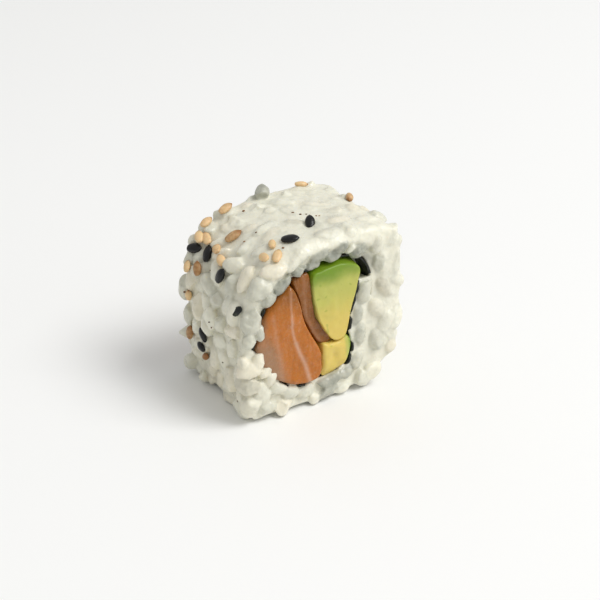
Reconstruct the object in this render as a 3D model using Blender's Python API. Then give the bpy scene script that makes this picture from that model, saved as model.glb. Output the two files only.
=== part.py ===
"""One piece of an inside-out sushi roll, cut from a longer roll and standing on its flat foot.

The roll's axis lies along Y and its two cut faces look towards -Y and +Y. A rice layer wraps a spiral sheet of
seaweed, which holds two strips of salmon and two pieces of avocado. All of them run the whole way through.
The origin is the middle of the piece's underside. Lengths are in metres.
"""

import math

import bpy
import numpy as np

MM = 0.001

# Driving dimensions
ROLL_WIDTH = 37.0 * MM  # along X, over the rice
ROLL_HEIGHT = 36.2 * MM  # along Z, over the rice
ROLL_LENGTH = 26.0 * MM  # along Y, between the cut faces
SHEET_THICKNESS = 0.4 * MM  # moist seaweed
CLEARANCE = 0.3 * MM  # between pieces that touch
EDGE_ROUNDING = 3.2 * MM  # where the rice turns from its side onto a cut face
FOOT_FLATTENING = 0.7 * MM  # rice this near the table is pressed flat
LUMP_HEIGHT = 0.7 * MM  # how far a grain stands out of the rice
LUMP_RADIUS = 3.1 * MM  # half the footprint of one grain
LUMP_COUNT = 420
LUMP_SEED = 11

# Points on outlines and routes, as (X, Z) in millimetres, seen from the front cut face
RICE_OUTLINE = [
    (-16.6, 0.0), (-11.2, 0.0), (-2.2, 0.0), (5.8, 0.2), (12.3, 2.2), (16.4, 6.0), (18.0, 12.0),
    (18.4, 20.0), (18.3, 28.0), (17.5, 33.0), (14.0, 35.6), (5.8, 36.2), (-4.2, 35.5), (-11.2, 32.8),
    (-16.0, 28.3), (-18.1, 21.0), (-18.5, 13.0), (-17.9, 5.0),
]
SEAWEED_ROUTE = [  # from the outer end, at the lower right, once round and up past itself to the inner end
    (6.7, 4.3), (9.2, 8.0), (10.6, 13.0), (11.2, 19.5), (11.0, 25.0), (9.4, 28.4), (6.4, 30.2), (1.6, 30.4),
    (-3.4, 29.8), (-8.0, 28.1), (-12.1, 25.1), (-14.4, 21.4), (-15.9, 16.8), (-15.1, 12.2), (-12.4, 8.6),
    (-8.6, 6.2), (-3.7, 5.0), (1.1, 5.0), (4.6, 6.0), (6.4, 8.4), (6.9, 11.0), (6.2, 13.9), (6.4, 17.1),
    (7.3, 20.5), (8.3, 24.3),
]
SALMON_THICK_OUTLINE = [
    (-7.6, 27.5), (-9.4, 26.4), (-11.6, 24.5), (-13.5, 22.0), (-14.4, 19.0), (-15.2, 16.6), (-14.4, 13.0),
    (-12.1, 9.6), (-9.0, 7.2), (-6.1, 6.0), (-3.4, 5.7), (-1.1, 6.5), (-0.8, 10.4), (-1.7, 13.4),
    (-3.7, 17.0), (-5.1, 20.6), (-6.0, 24.2),
]
SALMON_THIN_OUTLINE = [
    (-3.6, 29.0), (-5.2, 28.5), (-6.6, 27.6), (-5.6, 24.4), (-4.7, 20.9), (-3.3, 17.3), (-1.4, 13.8),
    (-0.2, 13.5), (-0.8, 15.2), (-1.8, 18.3), (-2.6, 23.0), (-3.1, 28.0),
]
AVOCADO_WEDGE_OUTLINE = [
    (-2.7, 28.2), (-0.5, 29.1), (2.2, 29.5), (5.2, 29.2), (7.5, 28.2), (8.1, 26.8), (7.5, 24.3),
    (6.6, 21.0), (5.7, 17.4), (5.0, 14.3), (3.4, 13.2), (1.1, 13.3), (-0.3, 15.4), (-1.4, 18.4),
    (-2.2, 23.0),
]
AVOCADO_END_OUTLINE = [
    (-0.3, 12.8), (1.5, 12.6), (3.4, 12.5), (5.2, 13.2), (6.0, 12.4), (6.2, 11.0), (5.8, 8.9), (4.7, 7.2),
    (2.7, 6.2), (0.9, 5.8), (-0.2, 6.2), (-0.4, 9.2),
]

# Where each filling's cut end stands: plus is proud of the rice's cut face, minus is sunk into it
SALMON_THICK_PROUD = 0.3 * MM
SALMON_THIN_PROUD = -1.2 * MM
AVOCADO_WEDGE_PROUD = 0.1 * MM
AVOCADO_END_PROUD = -0.1 * MM
SEAWEED_PROUD = -0.4 * MM


def clear_scene():
    for thing in list(bpy.data.objects):
        bpy.data.objects.remove(thing)


def smooth_closed(points, count):
    """Evenly spaced points on a smooth closed curve through the given (X, Z) points, in metres."""
    corners = np.array(points) * MM
    before, after, beyond = np.roll(corners, 1, 0), np.roll(corners, -1, 0), np.roll(corners, -2, 0)
    return evenly_spaced(catmull_rom(before, corners, after, beyond), count, closed=True)


def smooth_open(points, count):
    """Evenly spaced points on a smooth open curve through the given (X, Z) points, in metres."""
    corners = np.array(points) * MM
    padded = np.vstack([2 * corners[0] - corners[1], corners, 2 * corners[-1] - corners[-2]])
    dense = catmull_rom(padded[:-3], padded[1:-2], padded[2:-1], padded[3:])
    return evenly_spaced(np.vstack([dense, corners[-1]]), count, closed=False)


def catmull_rom(a, b, c, d, steps=16):
    """The cubic through b and c whose slopes come from their neighbours a and d, at even steps."""
    t = np.linspace(0, 1, steps, endpoint=False)[None, :, None]
    a, b, c, d = (p[:, None, :] for p in (a, b, c, d))
    curve = 0.5 * (2 * b + (c - a) * t + (2 * a - 5 * b + 4 * c - d) * t**2 + (3 * b - a - 3 * c + d) * t**3)
    return curve.reshape(-1, 2)


def evenly_spaced(curve, count, closed):
    """The same curve as count points that are equally far apart along it."""
    if closed:
        curve = np.vstack([curve, curve[0]])
    run = np.concatenate([[0], np.cumsum(np.linalg.norm(np.diff(curve, axis=0), axis=1))])
    at = np.linspace(0, run[-1], count, endpoint=not closed)
    return np.stack([np.interp(at, run, curve[:, k]) for k in range(2)], axis=1)


def clockwise(outline):
    """The closed outline in clockwise order as seen from the front, with X to the right and Z up."""
    after = np.roll(outline, -1, axis=0)
    twice_area = np.sum(outline[:, 0] * after[:, 1] - outline[:, 1] * after[:, 0])
    return outline if twice_area < 0 else outline[::-1]


def right_hand_normals(curve):
    """Unit normals of an open curve, to the right of its direction of travel."""
    along = np.gradient(curve, axis=0)
    across = np.stack([along[:, 1], -along[:, 0]], axis=1)
    return across / np.linalg.norm(across, axis=1, keepdims=True)


def object_from(name, points, faces, material):
    mesh = bpy.data.meshes.new(name)
    mesh.from_pydata([tuple(p) for p in points], [], [tuple(int(i) for i in f) for f in faces])
    mesh.validate()
    mesh.materials.append(material)
    thing = bpy.data.objects.new(name, mesh)
    bpy.context.scene.collection.objects.link(thing)
    mesh.shade_smooth()
    mesh.set_sharp_from_angle(angle=math.radians(40))
    return thing


def lofted(name, rings, front_pole, back_pole, material):
    """A closed solid from clockwise rings stacked from front to back, with a fan to a pole at each end."""
    stack, around = rings.shape[:2]
    index = np.arange(stack * around).reshape(stack, around)
    here, beside = index[:-1], np.roll(index[:-1], -1, axis=1)
    beyond, opposite = index[1:], np.roll(index[1:], -1, axis=1)
    faces = np.stack([here, beside, opposite, beyond], axis=-1).reshape(-1, 4).tolist()
    front, back = stack * around, stack * around + 1
    faces += [(front, index[0, (i + 1) % around], index[0, i]) for i in range(around)]
    faces += [(back, index[-1, i], index[-1, (i + 1) % around]) for i in range(around)]
    points = np.vstack([rings.reshape(-1, 3), front_pole, back_pole])
    return object_from(name, points, faces, material)


def material_of(name, colour, roughness):
    material = bpy.data.materials.new(name)
    material.use_nodes = True
    shader = material.node_tree.nodes["Principled BSDF"]
    shader.inputs["Base Color"].default_value = (*colour, 1.0)
    shader.inputs["Roughness"].default_value = roughness
    shader.inputs["Metallic"].default_value = 0.0
    return material


def surface_normals(rings):
    """Outward unit normals of a stack of rings, from the steps round each ring and from ring to ring."""
    around = np.roll(rings, -1, axis=1) - np.roll(rings, 1, axis=1)
    along = np.gradient(rings, axis=0)
    normals = np.cross(around, along)
    return normals / np.maximum(np.linalg.norm(normals, axis=2, keepdims=True), 1e-12)


def grain_lumps(points):
    """How far the rice stands out at each point: the tallest of the low domes, one for each grain near it."""
    picker = np.random.default_rng(LUMP_SEED)
    low, high = points.reshape(-1, 3).min(0), points.reshape(-1, 3).max(0)
    centres = low + picker.random((LUMP_COUNT, 3)) * (high - low)
    flat = points.reshape(-1, 3)
    distance = np.linalg.norm(flat[:, None, :] - centres[None], axis=2)
    domes = np.clip(1 - (distance / LUMP_RADIUS) ** 2, 0, None)
    return LUMP_HEIGHT * domes.max(axis=1).reshape(points.shape[:-1])


def rice_rings():
    """Rings of the rice from the middle of the front cut face, over its side, to the middle of the back one."""
    outline = clockwise(smooth_closed(RICE_OUTLINE, 88))
    middle = np.array([0.0, 0.5 * ROLL_HEIGHT])
    half = ROLL_LENGTH / 2
    turn = np.radians([0, 30, 60, 90])
    face_share = [0.25, 0.5, 0.66, 0.8]  # of the way from the middle to the rounded edge
    edge_in = EDGE_ROUNDING * (1 - np.sin(turn)) / (0.5 * ROLL_WIDTH)
    edge_depth = EDGE_ROUNDING * (1 - np.cos(turn))
    straight = np.linspace(-half + EDGE_ROUNDING, half - EDGE_ROUNDING, 8)[1:-1]
    share = [s for s in face_share] + [1 - inset for inset in edge_in] + [1.0 for _ in straight]
    depth = [-half for _ in face_share] + [-half + d for d in edge_depth] + list(straight)
    share += [1 - inset for inset in edge_in[::-1]] + face_share[::-1]
    depth += [half - d for d in edge_depth[::-1]] + [half for _ in face_share]
    rings = []
    for scale, y in zip(share, depth):
        ring = middle + (outline - middle) * scale
        rings.append(np.stack([ring[:, 0], np.full(len(ring), y), ring[:, 1]], axis=1))
    return np.array(rings), middle


def rested_and_fitted(rings):
    """Presses the underside flat, then stretches the lumpy rice by a hair so that it fills its stated box."""
    low, high = rings.reshape(-1, 3).min(0), rings.reshape(-1, 3).max(0)
    rings = rings - [(low[0] + high[0]) / 2, (low[1] + high[1]) / 2, 0]
    foot = rings[..., 2] < FOOT_FLATTENING
    rings[..., 2] = np.where(foot, 0.0, rings[..., 2])
    size = np.array([ROLL_WIDTH, ROLL_LENGTH, ROLL_HEIGHT])
    reach = np.array([np.ptp(rings[..., 0]), np.ptp(rings[..., 1]), rings[..., 2].max()])
    return rings * (size / reach)


def hole_outline():
    """The spiral space inside the rice: seaweed, its clearance, and everything it wraps. The rice that starts
    the layer reaches between the sheet's two turns, so the outline runs up both sides of it."""
    route = smooth_open(SEAWEED_ROUTE, 110)
    start, end = route[0] - route[1], route[-1] - route[-2]
    route = np.vstack([
        route[0] + start / np.linalg.norm(start) * CLEARANCE,
        route,
        route[-1] + end / np.linalg.norm(end) * CLEARANCE,
    ])
    reach = SHEET_THICKNESS / 2 + CLEARANCE
    outer = route + right_hand_normals(route) * reach
    inner = route - right_hand_normals(route) * reach
    first_turn = inner[: len(inner) // 3]
    crossing = int(np.argmin(np.linalg.norm(first_turn - outer[-1], axis=1)))
    return np.vstack([outer, first_turn[crossing::-1]])


def cutter_from(name, outline):
    """A prism along Y, longer than the roll, that a Boolean takes away."""
    outline = clockwise(outline)[::-1]
    count = len(outline)
    reach = ROLL_LENGTH
    front = np.stack([outline[:, 0], np.full(count, -reach), outline[:, 1]], axis=1)
    back = front + [0, 2 * reach, 0]
    sides = [(i, count + i, count + (i + 1) % count, (i + 1) % count) for i in range(count)]
    faces = [tuple(range(count)), tuple(range(count, 2 * count))[::-1]] + sides
    mesh = bpy.data.meshes.new(name)
    mesh.from_pydata([tuple(p) for p in np.vstack([front, back])], [], faces)
    cutter = bpy.data.objects.new(name, mesh)
    bpy.context.scene.collection.objects.link(cutter)
    cutter.hide_render = True
    cutter.display_type = "WIRE"
    return cutter


def make_rice(material):
    rings, middle = rice_rings()
    rings = rings + surface_normals(rings) * grain_lumps(rings)[..., None]
    rings = rested_and_fitted(rings)
    front_pole = (middle[0], rings[0, :, 1].mean(), middle[1])
    back_pole = (middle[0], rings[-1, :, 1].mean(), middle[1])
    rice = lofted("rice", rings, front_pole, back_pole, material)
    cut = rice.modifiers.new("filling space", "BOOLEAN")
    cut.operation = "DIFFERENCE"
    cut.solver = "EXACT"
    cut.object = cutter_from("filling_space", hole_outline())
    return rice


def make_seaweed(material):
    """The sheet: its route with half its thickness on each side, carried from end to end of the roll."""
    route = smooth_open(SEAWEED_ROUTE, 110)
    across = right_hand_normals(route) * SHEET_THICKNESS / 2
    end = ROLL_LENGTH / 2 + SEAWEED_PROUD
    corners = [(route + across, -end), (route + across, end), (route - across, end), (route - across, -end)]
    strips = [np.stack([edge[:, 0], np.full(len(edge), y), edge[:, 1]], axis=1) for edge, y in corners]
    count = len(route)
    faces = [(3 * count, 2 * count, count, 0), (count - 1, 2 * count - 1, 3 * count - 1, 4 * count - 1)]
    for side in range(4):
        a, b = side * count, (side + 1) % 4 * count
        faces += [(a + i, b + i, b + i + 1, a + i + 1) for i in range(count - 1)]
    return object_from("seaweed", np.vstack(strips), faces, material)


def make_filling(name, outline_points, count, proud, rounding, dome, material):
    """A strip along Y with the given outline, softened at its cut edges and slightly domed at its ends."""
    outline = clockwise(smooth_closed(outline_points, count))
    middle = outline.mean(0)
    size = np.linalg.norm(outline - middle, axis=1).mean()
    end = ROLL_LENGTH / 2 + proud
    shares = [0.45, 0.8, 1 - rounding / size, 1.0]
    depths = [end, end - 0.4 * dome, end - dome, end - dome - rounding]
    steps = [(s, -y) for s, y in zip(shares, depths)]
    steps += [(s, y) for s, y in zip(shares[::-1], depths[::-1])]
    rings = []
    for share, y in steps:
        ring = middle + (outline - middle) * share
        rings.append(np.stack([ring[:, 0], np.full(len(ring), y), ring[:, 1]], axis=1))
    poles = [(middle[0], y, middle[1]) for y in (-end, end)]
    return lofted(name, np.array(rings), poles[0], poles[1], material)


def main():
    clear_scene()
    make_rice(material_of("cooked rice", (0.80, 0.77, 0.68), 0.4))
    make_seaweed(material_of("seaweed", (0.01, 0.014, 0.01), 0.5))
    salmon = material_of("salmon", (0.68, 0.22, 0.07), 0.3)
    avocado = material_of("avocado", (0.62, 0.60, 0.15), 0.4)
    make_filling(
        "salmon_thick", SALMON_THICK_OUTLINE, 44, SALMON_THICK_PROUD, 0.6 * MM, 0.3 * MM, salmon
    )
    make_filling("salmon_thin", SALMON_THIN_OUTLINE, 36, SALMON_THIN_PROUD, 0.4 * MM, 0.2 * MM, salmon)
    make_filling(
        "avocado_wedge", AVOCADO_WEDGE_OUTLINE, 44, AVOCADO_WEDGE_PROUD, 0.5 * MM, 0.2 * MM, avocado
    )
    make_filling("avocado_end", AVOCADO_END_OUTLINE, 32, AVOCADO_END_PROUD, 0.5 * MM, 0.2 * MM, avocado)


main()
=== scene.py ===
"""Looks of one piece of an inside-out sushi roll: packed rice grains round a spiral of seaweed with salmon
and avocado inside, and sesame seeds scattered over the rice. The roll's axis lies along Y and it stands on
Z = 0.

Shapes are worked out in millimetres and become metres when they are put into a mesh.
"""

import math

import bmesh
import bpy
import numpy as np
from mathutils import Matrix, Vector
from mathutils.bvhtree import BVHTree


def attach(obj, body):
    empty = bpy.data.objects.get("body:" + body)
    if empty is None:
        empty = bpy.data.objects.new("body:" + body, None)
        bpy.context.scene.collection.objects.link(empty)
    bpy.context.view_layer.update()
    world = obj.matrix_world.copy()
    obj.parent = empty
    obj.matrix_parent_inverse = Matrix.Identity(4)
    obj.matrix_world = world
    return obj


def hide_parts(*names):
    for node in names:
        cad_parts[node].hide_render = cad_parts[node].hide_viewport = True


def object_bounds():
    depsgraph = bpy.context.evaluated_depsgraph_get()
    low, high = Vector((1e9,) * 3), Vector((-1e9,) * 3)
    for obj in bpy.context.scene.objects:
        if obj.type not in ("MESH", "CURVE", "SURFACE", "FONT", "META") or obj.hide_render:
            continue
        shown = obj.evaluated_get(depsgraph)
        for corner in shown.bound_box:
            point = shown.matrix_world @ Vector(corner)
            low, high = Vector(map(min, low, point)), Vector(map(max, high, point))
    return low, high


bl_info = {
    "name": "Inside-out sushi roll",
    "version": (1, 0, 0),
    "blender": (4, 5, 0),
    "location": "3D View > Sidebar > Sushi Roll",
    "description": "Builds the rice, seaweed, fillings and seeds of one piece of an inside-out roll",
    "category": "Add Mesh",
}

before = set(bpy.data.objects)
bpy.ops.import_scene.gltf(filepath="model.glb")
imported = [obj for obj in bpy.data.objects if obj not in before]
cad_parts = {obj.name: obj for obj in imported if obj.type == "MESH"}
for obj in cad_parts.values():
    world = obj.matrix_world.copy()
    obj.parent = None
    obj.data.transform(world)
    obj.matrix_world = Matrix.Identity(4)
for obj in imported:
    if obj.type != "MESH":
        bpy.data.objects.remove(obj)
CAD_LOW, CAD_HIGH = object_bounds()
MM = 0.001
BODY = "root"
MIDDLE_HEIGHT = 17.0  # of the cut face's middle, in millimetres
FACE_INSET = 0.3  # how far the rice's cut faces lie inside the whole piece's ends

# Outlines and routes on the cut face, as (X, Z) in millimetres, seen from the front
RICE_OUTLINE = [
    (-16.6, 0.0), (-11.2, 0.0), (-2.2, 0.0), (5.8, 0.2), (12.3, 2.2), (16.4, 6.0), (18.0, 12.0),
    (18.4, 20.0), (18.3, 28.0), (17.5, 33.0), (14.0, 35.6), (5.8, 36.2), (-4.2, 35.5), (-11.2, 32.8),
    (-16.0, 28.3), (-18.1, 21.0), (-18.5, 13.0), (-17.9, 5.0),
]
SEAWEED_ROUTE = [  # from the outer end, at the lower right, once round and up past itself to the inner end
    (6.7, 4.3), (9.2, 8.0), (10.6, 13.0), (11.2, 19.5), (11.0, 25.0), (9.4, 28.4), (6.4, 30.2), (1.6, 30.4),
    (-3.4, 29.8), (-8.0, 28.1), (-12.1, 25.1), (-14.4, 21.4), (-15.9, 16.8), (-15.1, 12.2), (-12.4, 8.6),
    (-8.6, 6.2), (-3.7, 5.0), (1.1, 5.0), (4.6, 6.0), (6.4, 8.4), (6.9, 11.0), (6.2, 13.9), (6.4, 17.1),
    (7.3, 20.5), (8.3, 24.3),
]
# Where rice smears over the sheet's edge
BURIED_ROUTE = [(6.7, 4.3), (9.2, 8.0), (10.6, 13.0), (11.2, 19.5), (11.3, 23.4)]
SALMON_THICK = [
    (-7.6, 27.5), (-9.4, 26.4), (-11.6, 24.5), (-13.5, 22.0), (-14.4, 19.0), (-15.2, 16.6), (-14.4, 13.0),
    (-12.1, 9.6), (-9.0, 7.2), (-6.1, 6.0), (-3.4, 5.7), (-1.1, 6.5), (-0.8, 10.4), (-1.7, 13.4),
    (-3.7, 17.0), (-5.1, 20.6), (-6.0, 24.2),
]
SALMON_THIN = [
    (-3.6, 29.0), (-5.2, 28.5), (-6.6, 27.6), (-5.6, 24.4), (-4.7, 20.9), (-3.3, 17.3), (-1.6, 14.2),
    (-0.4, 12.9), (1.0, 12.6), (1.9, 13.2), (0.7, 14.7), (-0.5, 16.4), (-1.5, 18.8), (-2.5, 23.0),
    (-3.0, 28.0),
]
AVOCADO_WEDGE = [
    (-2.7, 28.2), (-0.5, 29.1), (2.2, 29.5), (5.2, 29.2), (7.5, 28.2), (8.1, 26.8), (7.5, 24.3),
    (6.7, 21.0), (5.8, 17.4), (5.0, 13.9), (3.4, 12.9), (2.0, 13.5), (0.9, 14.9), (-0.3, 16.7), (-1.3, 19.0),
    (-2.2, 23.0),
]
AVOCADO_END = [
    (-0.3, 12.8), (1.5, 12.6), (3.4, 12.5), (5.2, 13.2), (6.0, 12.4), (6.2, 11.0), (5.8, 8.9), (4.7, 7.2),
    (2.7, 6.2), (0.9, 5.8), (-0.2, 6.2), (-0.4, 9.2),
]


# ---------------------------------------------------------------------------------------------- settings


def colour_property(name, description, default):
    return bpy.props.FloatVectorProperty(
        name=name, description=description, default=default, size=3, min=0, max=1, subtype="COLOR"
    )


def length_property(name, description, default):
    return bpy.props.FloatProperty(
        name=name, description=description, default=default, unit="LENGTH", precision=5
    )


def angle_property(name, description, degrees):
    return bpy.props.FloatProperty(
        name=name, description=description, default=math.radians(degrees), subtype="ANGLE"
    )


class RollSize(bpy.types.PropertyGroup):
    """Sizes of the whole piece"""

    length: length_property("Length", "Between the cut faces", CAD_HIGH.y - CAD_LOW.y)
    edge: length_property("Edge rounding", "Where the side turns onto a cut face", 0.003)
    sheet: length_property("Seaweed thickness", "Of the moist sheet", 0.0004)
    gap: length_property("Clearance", "Between the sheet and the rice", 0.0003)


class RiceLook(bpy.types.PropertyGroup):
    """Grains and colours of the rice"""

    grain_length: length_property("Grain length", "Of one cooked grain", 0.0058)
    grain_width: length_property("Grain width", "Of one cooked grain", 0.0028)
    fineness: length_property("Fineness", "Size of the cells that the packed rice is worked out on", 0.00024)
    milky: colour_property("Milky", "Most grains", (0.80, 0.785, 0.655))
    creamy: colour_property("Creamy", "Warmer grains and smears", (0.80, 0.75, 0.60))
    # The glassy colour is the grey of translucent grains over the dark seaweed, darkened further as painted
    # shade for the shade under the rice's lip
    glassy_and_shaded: colour_property("Glassy", "Translucent grains beside the seaweed", (0.28, 0.29, 0.24))
    seed: bpy.props.IntProperty(name="Seed", description="Of the grains' places", default=5)


class SeaweedLook(bpy.types.PropertyGroup):
    """Colours of the seaweed"""

    dark: colour_property("Dark", "Most of the sheet", (0.006, 0.008, 0.006))
    green: colour_property("Green", "Thin places in the sheet", (0.03, 0.04, 0.02))


class SalmonLook(bpy.types.PropertyGroup):
    """Colours of the salmon"""

    flesh: colour_property("Flesh", "Most of the cut face", (0.455, 0.145, 0.018))
    deep: colour_property("Deep", "Thicker, redder flesh", (0.225, 0.080, 0.010))
    fat: colour_property("Fat", "Lines between the flakes", (0.58, 0.34, 0.23))
    dull: colour_property("Dull", "Thin browner flesh at the outer edge", (0.33, 0.185, 0.100))


class AvocadoLook(bpy.types.PropertyGroup):
    """Colours of the avocado"""

    skin_side: colour_property("Skin side", "Flesh that lay under the skin", (0.155, 0.265, 0.008))
    middle: colour_property("Middle", "Between the two", (0.47, 0.475, 0.100))
    stone_side: colour_property("Stone side", "Flesh that lay against the stone", (0.67, 0.51, 0.115))


class SeedLook(bpy.types.PropertyGroup):
    """Sizes and colours of the sesame seeds"""

    length: length_property("Length", "Of one seed", 0.0031)
    toasted: colour_property("Toasted", "Pale seeds", (0.78, 0.55, 0.29))
    browned: colour_property("Browned", "Tips and the darkest pale seeds", (0.30, 0.13, 0.035))
    black: colour_property("Black", "Black seeds", (0.005, 0.005, 0.005))


class StageLook(bpy.types.PropertyGroup):
    """Floor, light and camera"""

    floor: colour_property("Floor", "Plain pale surface", (0.91, 0.91, 0.895))
    azimuth: angle_property("Azimuth", "Of the camera round the piece", -32)
    elevation: angle_property("Elevation", "Of the camera above the floor", 28)
    distance: length_property("Distance", "From the camera to the piece", 0.285)
    focal: bpy.props.FloatProperty(name="Focal length", description="Of the lens, in millimetres", default=85)


SETTINGS = {
    "roll_size": RollSize,
    "roll_rice": RiceLook,
    "roll_seaweed": SeaweedLook,
    "roll_salmon": SalmonLook,
    "roll_avocado": AvocadoLook,
    "roll_seeds": SeedLook,
    "roll_stage": StageLook,
}


# ---------------------------------------------------------------------------------------- curves and noise


def smooth_curve(points, count, closed):
    """count evenly spaced points on a Catmull-Rom curve through the points: between b and c, with neighbours
    a and d, it is (2b + (c - a)t + (2a - 5b + 4c - d)t^2 + (3b - a - 3c + d)t^3) / 2."""
    fine = 24  # points worked out between two of those given
    p = np.array(points, float)
    if closed:
        padded = np.vstack([p[-1], p, p[0], p[1]])
    else:
        padded = np.vstack([2 * p[0] - p[1], p, 2 * p[-1] - p[-2]])
    a, b, c, d = (padded[k : len(padded) - 3 + k, None] for k in range(4))
    t = np.linspace(0, 1, fine, endpoint=False)[None, :, None]
    curve = (2 * b + (c - a) * t + (2 * a - 5 * b + 4 * c - d) * t**2 + (3 * b - a - 3 * c + d) * t**3) / 2
    curve = np.vstack([curve.reshape(-1, p.shape[1]), p[:1] if closed else p[-1:]])
    run = np.concatenate([[0], np.cumsum(np.linalg.norm(np.diff(curve, axis=0), axis=1))])
    at = np.linspace(0, run[-1], count, endpoint=not closed)
    return np.stack([np.interp(at, run, curve[:, k]) for k in range(curve.shape[1])], axis=1)


def clockwise(outline):
    """The closed outline in clockwise order as seen from the front, with X to the right and Z up."""
    after = np.roll(outline, -1, axis=0)
    twice_area = np.sum(outline[:, 0] * after[:, 1] - outline[:, 1] * after[:, 0])
    return outline if twice_area < 0 else outline[::-1]


def right_hand_normals(curve):
    """Unit normals of an open curve, to the right of its direction of travel."""
    along = np.gradient(curve, axis=0)
    across = np.stack([along[:, 1], -along[:, 0]], axis=1)
    return across / np.linalg.norm(across, axis=1, keepdims=True)


def smooth_step(low, high, value):
    """0 below low, 1 above high and 3t^2 - 2t^3 between them. low may be the larger."""
    t = np.clip((value - low) / (high - low), 0, 1)
    return t * t * (3 - 2 * t)


def soft_noise(points, scale, seed):
    """Smooth values from -1 to 1 that change over about scale: random numbers on a lattice, blended between
    its corners with 3t^2 - 2t^3."""
    side = 24  # points along the lattice before it repeats
    shift = 0.37  # keeps the lattice's corners off the planes through the origin
    lattice = np.random.default_rng(seed).random((side, side, side), np.float32) * 2 - 1
    place = np.asarray(points, np.float32) / scale + shift
    cell = np.floor(place).astype(np.int32)
    t = place - cell
    t = t * t * (3 - 2 * t)
    total = np.zeros(place.shape[:-1], np.float32)
    for corner in np.ndindex(2, 2, 2):
        index = [(cell[..., k] + corner[k]) % side for k in range(3)]
        weight = np.prod([t[..., k] if corner[k] else 1 - t[..., k] for k in range(3)], axis=0)
        total += weight * lattice[index[0], index[1], index[2]]
    return total


def distance_to_line(points, line):
    """Distance from each 2-D point to an open line of 2-D points."""
    a, b = line[:-1], line[1:]
    step = b - a
    gap = points[:, None, :] - a[None]
    t = np.clip((gap * step).sum(2) / (step**2).sum(1), 0, 1)
    return np.sqrt((((gap - t[..., None] * step) ** 2).sum(2)).min(axis=1))


def distance_to_outline(points, outline):
    """Distance from each 2-D point to a closed outline, negative inside it: inside is where a ray to the
    right crosses the outline an odd number of times."""
    closed = np.vstack([outline, outline[:1]])
    away = distance_to_line(points, closed)
    a, b = closed[:-1], closed[1:]
    x, z = points[:, :1], points[:, 1:]
    spans = (a[:, 1] > z) != (b[:, 1] > z)
    rise = np.where(b[:, 1] == a[:, 1], 1e-9, b[:, 1] - a[:, 1])
    crossing = a[:, 0] + (z - a[:, 1]) / rise * (b[:, 0] - a[:, 0])
    inside = (spans & (x < crossing)).sum(axis=1) % 2 == 1
    return np.where(inside, -away, away)


class FlatMap:
    """Values known on an even grid of (X, Z) points and blended linearly between them."""

    LOW, SIZE, STEP = (-22.0, -3.0), (44, 43), 0.2  # millimetres

    def __init__(self, worth):
        self.shape = tuple(int(size / self.STEP) for size in self.SIZE)
        i, j = np.indices(self.shape)
        places = np.stack([i.ravel(), j.ravel()], axis=1) * self.STEP + np.array(self.LOW)
        self.values = worth(places).reshape(self.shape).astype(np.float32)

    def at(self, x, z):
        u = np.clip((x - self.LOW[0]) / self.STEP, 0, self.shape[0] - 1.001)
        v = np.clip((z - self.LOW[1]) / self.STEP, 0, self.shape[1] - 1.001)
        i, j = np.floor(u).astype(int), np.floor(v).astype(int)
        s, t = u - i, v - j
        g = self.values
        below = g[i, j] * (1 - s) + g[i + 1, j] * s
        above = g[i, j + 1] * (1 - s) + g[i + 1, j + 1] * s
        return below * (1 - t) + above * t


# ----------------------------------------------------------------------------------------- meshes


def mesh_object(name, points, faces, material, values=None):
    """A smooth mesh object at the origin from points in millimetres. values holds a number for each point under
    each name."""
    mesh = bpy.data.meshes.new(name)
    points = np.asarray(points, float) * MM
    if isinstance(faces, np.ndarray):
        mesh.vertices.add(len(points))
        mesh.vertices.foreach_set("co", points.astype(np.float32).ravel())
        mesh.loops.add(faces.size)
        mesh.loops.foreach_set("vertex_index", faces.astype(np.int32).ravel())
        mesh.polygons.add(len(faces))
        mesh.polygons.foreach_set("loop_start", np.arange(0, faces.size, faces.shape[1], dtype=np.int32))
        mesh.update(calc_edges=True)
    else:
        mesh.from_pydata(points.tolist(), [], faces)
    mesh.validate()
    for key, numbers in (values or {}).items():
        layer = mesh.attributes.new(key, "FLOAT", "POINT")
        layer.data.foreach_set("value", np.asarray(numbers, np.float32).ravel())
    mesh.shade_smooth()
    mesh.materials.append(material)
    thing = bpy.data.objects.new(name, mesh)
    bpy.context.scene.collection.objects.link(thing)
    return thing


def ring_faces(rings, around):
    """Quads between rings of points in a row, each ring closed on itself."""
    index = np.arange(rings * around).reshape(rings, around)
    index = np.hstack([index, index[:, :1]])
    here, right = index[:-1, :-1], index[:-1, 1:]
    below, across = index[1:, :-1], index[1:, 1:]
    return np.stack([here, right, across, below], axis=-1).reshape(-1, 4)


def closed_stack(rings, front_pole, back_pole):
    """Points and faces of a closed surface: rings of points from front to back, joined by quads, and a pole at
    each end that triangles join to its nearest ring."""
    stack, around = rings.shape[:2]
    faces = ring_faces(stack, around).tolist()
    front, back = stack * around, stack * around + 1
    first, last = np.arange(around), np.arange(around) + (stack - 1) * around
    faces += [(front, int(b), int(a)) for a, b in zip(first, np.roll(first, -1))]
    faces += [(back, int(a), int(b)) for a, b in zip(last, np.roll(last, -1))]
    return np.vstack([rings.reshape(-1, 3), [front_pole, back_pole]]), faces


def outward_faces(thing):
    """Turns every face of a closed mesh outwards."""
    shape = bmesh.new()
    shape.from_mesh(thing.data)
    bmesh.ops.recalc_face_normals(shape, faces=shape.faces)
    shape.to_mesh(thing.data)
    shape.free()


def flatten_modifiers(thing):
    """The modifiers' result becomes the mesh."""
    graph = bpy.context.evaluated_depsgraph_get()
    done = bpy.data.meshes.new_from_object(thing.evaluated_get(graph))
    thing.modifiers.clear()
    thing.data = done


def finished(piece, slot, *nodes):
    """The piece rides on the object's one body and stands for CAD nodes, which it hides. Its slot is not used.
    """
    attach(piece, BODY)
    if nodes:
        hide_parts(*nodes)


# ------------------------------------------------------------------------------------------ materials


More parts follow.
